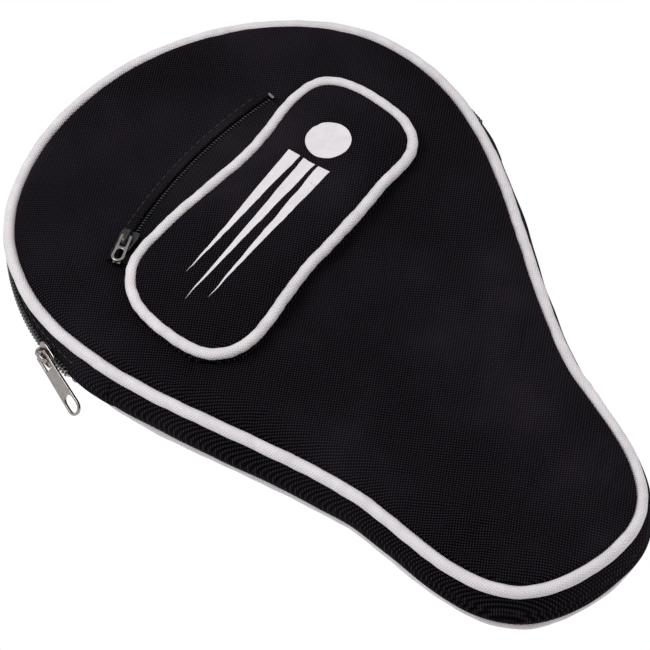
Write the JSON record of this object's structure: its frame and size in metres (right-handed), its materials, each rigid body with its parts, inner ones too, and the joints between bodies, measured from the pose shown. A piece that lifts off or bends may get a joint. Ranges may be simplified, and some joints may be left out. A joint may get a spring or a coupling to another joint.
{
  "type": "paddle case",
  "caption": "Padded zip case shaped like a table-tennis bat, with contrast piping, a zipped ball pocket on the front panel and a front flap that folds open.",
  "frame": {"origin": "on the flat outer face of the back panel, halfway along the case", "axes": "+Z out through the front panel, +Y along the case towards its round head, +X to the right seen from the front"},
  "size_m": [0.2066, 0.3052, 0.0406],
  "materials": {
    "shell_fabric": "black woven polyester, fine diagonal weave",
    "piping_fabric": "pale grey woven cover tape",
    "piping_cord": "twisted cotton filler cord",
    "padding_foam": "soft sheet padding",
    "lining_fabric": "smooth black lining",
    "binding_tape": "ribbed binding tape",
    "zip_tape": "herringbone zip tape",
    "zip_coil": "black nylon coil",
    "zip_metal": "polished nickel",
    "zip_enamel": "black enamelled slider",
    "print_ink": "flexible screen-print ink"
  },
  "bodies": {
    "case": {"back_panel": "shell_fabric", "back_padding": "padding_foam", "back_lining": "lining_fabric", "back_piping": "piping_fabric", "back_piping_cord": "piping_cord", "back_seam_binding": "binding_tape", "back_zip_tape": "zip_tape", "back_zip_coil": "zip_coil", "front_panel": "shell_fabric", "front_padding": "padding_foam", "front_lining": "lining_fabric", "front_piping": "piping_fabric", "front_piping_cord": "piping_cord", "front_seam_binding": "binding_tape", "front_zip_tape_left": "zip_tape", "front_zip_tape_right": "zip_tape", "front_zip_coil_left": "zip_coil", "front_zip_coil_right": "zip_coil", "handle_gusset": "shell_fabric", "gusset_end_left": "shell_fabric", "gusset_end_right": "shell_fabric", "zip_stop_left": "zip_metal", "zip_stop_right": "zip_metal", "pocket_face": "shell_fabric", "pocket_lining": "lining_fabric", "pocket_wall": "shell_fabric", "pocket_piping": "piping_fabric", "pocket_piping_cord": "piping_cord", "pocket_zip_tape_inner": "zip_tape", "pocket_zip_tape_outer": "zip_tape", "pocket_zip_coil_inner": "zip_coil", "pocket_zip_coil_outer": "zip_coil", "pocket_zip_stop_left": "zip_metal", "pocket_zip_stop_right": "zip_metal", "pocket_print": "print_ink"},
    "flap": {"flap_panel": "shell_fabric", "flap_padding": "padding_foam", "flap_lining": "lining_fabric", "flap_piping": "piping_fabric", "flap_piping_cord": "piping_cord", "flap_seam_binding": "binding_tape", "flap_zip_tape": "zip_tape", "flap_zip_coil": "zip_coil"},
    "main_slider": {"zip_slider": "zip_metal"},
    "main_pull": {"zip_pull": "zip_metal"},
    "pocket_slider": {"pocket_zip_slider": "zip_enamel"},
    "pocket_pull": {"pocket_zip_pull": "zip_metal"}
  },
  "joints": [
    {"name": "front_flap", "type": "hinge", "parent": "case", "child": "flap", "pos_m": [-0.01643, 0.09195, 0.0313], "axis": [0.9511, 0.309, 0], "range_deg": [0, 100]},
    {"name": "zip_travel", "type": "hinge", "parent": "case", "child": "main_slider", "pos_m": [0, 0.054, 0.0147], "axis": [0, 0, -1], "range_deg": [-1, 179]},
    {"name": "zip_pull_swing", "type": "hinge", "parent": "main_slider", "child": "main_pull", "pos_m": [-0.10265, 0.05579, 0.01688], "axis": [-0.4809, 0.2504, -0.8403], "range_deg": [-1, 160]},
    {"name": "pocket_zip_travel", "type": "hinge", "parent": "case", "child": "pocket_slider", "pos_m": [0.04557, -0.10535, 0.0336], "axis": [0, 0, -1], "range_deg": [0, 22.5]},
    {"name": "pocket_pull_swing", "type": "hinge", "parent": "pocket_slider", "child": "pocket_pull", "pos_m": [-0.05322, 0.06855, 0.03795], "axis": [-0.5821, 0.8131, 0], "range_deg": [-3, 150]}
  ]
}
